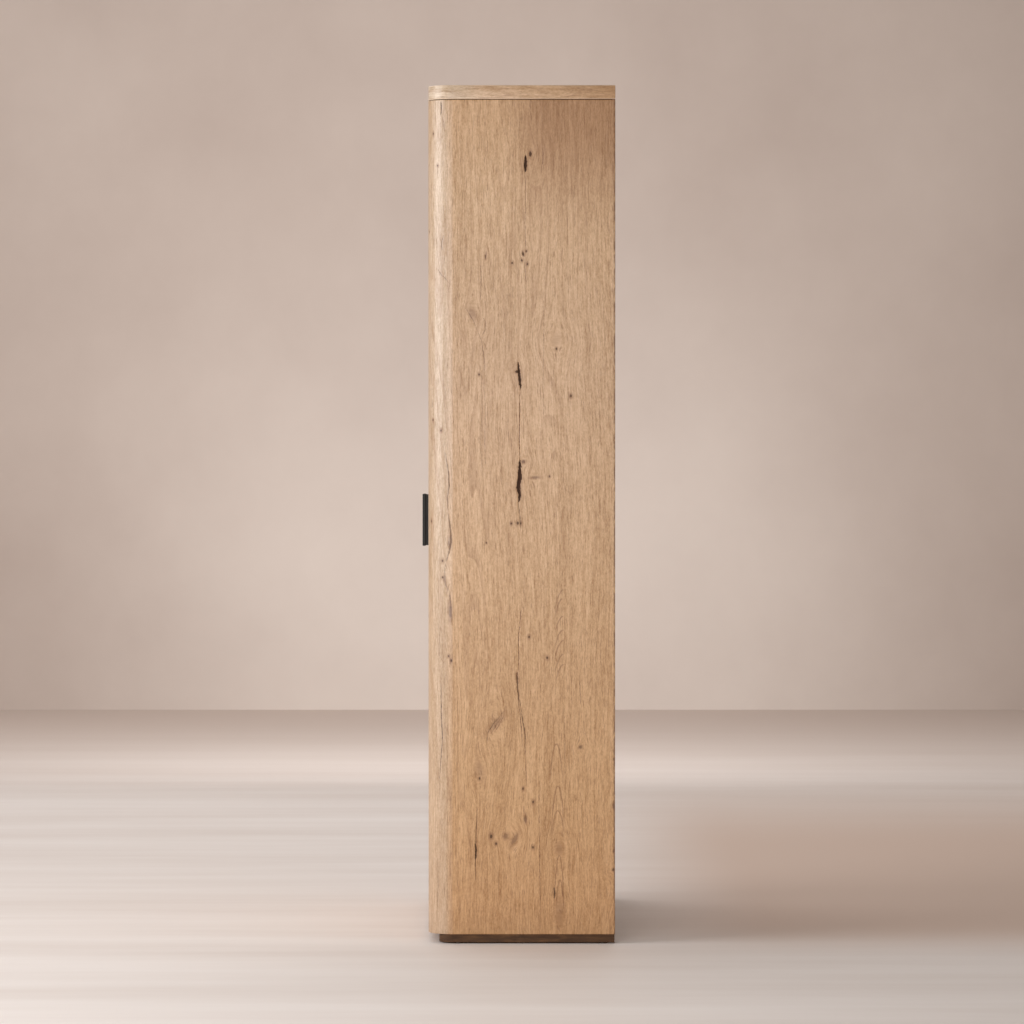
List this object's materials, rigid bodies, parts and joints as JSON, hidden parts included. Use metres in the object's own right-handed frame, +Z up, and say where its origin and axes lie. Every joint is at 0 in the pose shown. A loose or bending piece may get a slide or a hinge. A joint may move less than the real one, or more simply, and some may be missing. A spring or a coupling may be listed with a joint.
{
  "type": "pantry cabinet",
  "caption": "Tall shallow pantry cabinet with rounded front corners, an overlaid top slab on a shadow line, a dark plinth, paired full-height pivot doors and loose shelves.",
  "frame": {"origin": "on the floor, at the middle of the bounding box of the cabinet with its pulls", "axes": "X is the width, -Y is the front with the doors, +Z is up"},
  "size_m": [1.067, 0.4884, 2.134],
  "materials": {
    "oak_outside": "brushed knotty oak veneer, matt clear finish",
    "oak_top": "lighter smooth oak, matt clear finish",
    "oak_inside": "plain oak veneer, matt clear finish",
    "dark_oak": "dark brown stained oak",
    "black_spacer": "black stained strip",
    "blackened_metal": "matt black powder coat",
    "plated_steel": "zinc plated",
    "pivot_steel": "brushed steel",
    "bush_bronze": "plain bearing bronze",
    "catch_plastic": "moulded dark brown",
    "strike_steel": "nickel plated",
    "washer_nylon": "natural nylon",
    "glide_nylon": "black nylon",
    "bumper_rubber": "translucent grey, soft",
    "beech": "plain turned beech"
  },
  "bodies": {
    "cabinet": {"back_panel_lower": "oak_inside", "back_panel_upper": "oak_inside", "back_rail": "oak_inside", "back_screws": "plated_steel", "bottom_panel": "oak_inside", "bottom_pivot_left": "pivot_steel", "bottom_pivot_right": "pivot_steel", "carcass_dowels": "beech", "catch_screws": "plated_steel", "corner_post_left": "oak_outside", "corner_post_right": "oak_outside", "corner_splines": "beech", "door_bumpers": "bumper_rubber", "fixed_shelf": "oak_inside", "glide_screws": "plated_steel", "glides": "glide_nylon", "magnetic_catch_left": "catch_plastic", "magnetic_catch_right": "catch_plastic", "pivot_screws": "plated_steel", "plinth_back": "dark_oak", "plinth_corner_left": "dark_oak", "plinth_corner_right": "dark_oak", "plinth_front": "dark_oak", "plinth_screws": "plated_steel", "plinth_side_left": "dark_oak", "plinth_side_right": "dark_oak", "reveal_spacer": "black_spacer", "shelf_pins": "plated_steel", "side_face_left": "oak_outside", "side_face_right": "oak_outside", "side_panel_left": "oak_inside", "side_panel_right": "oak_inside", "slab_screws": "plated_steel", "sub_top": "oak_inside", "thrust_washers": "washer_nylon", "top_pivot_left": "pivot_steel", "top_pivot_right": "pivot_steel", "top_slab": "oak_top"},
    "door_left": {"door_panel_left": "oak_inside", "door_face_left": "oak_outside", "bottom_bush_left": "bush_bronze", "top_bush_left": "bush_bronze", "bush_screws_left": "plated_steel", "strike_plate_left": "strike_steel", "strike_screws_left": "plated_steel", "pull_left": "blackened_metal", "pull_screws_left": "plated_steel"},
    "door_right": {"door_panel_right": "oak_inside", "door_face_right": "oak_outside", "bottom_bush_right": "bush_bronze", "top_bush_right": "bush_bronze", "bush_screws_right": "plated_steel", "strike_plate_right": "strike_steel", "strike_screws_right": "plated_steel", "pull_right": "blackened_metal", "pull_screws_right": "plated_steel"},
    "loose_shelf_1": {"shelf_1": "oak_inside"},
    "loose_shelf_2": {"shelf_2": "oak_inside"},
    "loose_shelf_3": {"shelf_3": "oak_inside"},
    "loose_shelf_4": {"shelf_4": "oak_inside"}
  },
  "joints": [
    {"name": "door_left_swing", "type": "hinge", "parent": "cabinet", "child": "door_left", "pos_m": [-0.4585, -0.20975, 0.045], "axis": [0, 0, -1], "range_deg": [0, 100]},
    {"name": "door_right_swing", "type": "hinge", "parent": "cabinet", "child": "door_right", "pos_m": [0.4585, -0.20975, 0.045], "axis": [0, 0, 1], "range_deg": [0, 100]},
    {"name": "shelf_1_lift", "type": "slide", "parent": "cabinet", "child": "loose_shelf_1", "axis": [0, 0, 1], "range_m": [0, 0.03]},
    {"name": "shelf_2_lift", "type": "slide", "parent": "cabinet", "child": "loose_shelf_2", "axis": [0, 0, 1], "range_m": [0, 0.03]},
    {"name": "shelf_3_lift", "type": "slide", "parent": "cabinet", "child": "loose_shelf_3", "axis": [0, 0, 1], "range_m": [0, 0.03]},
    {"name": "shelf_4_lift", "type": "slide", "parent": "cabinet", "child": "loose_shelf_4", "axis": [0, 0, 1], "range_m": [0, 0.03]}
  ]
}
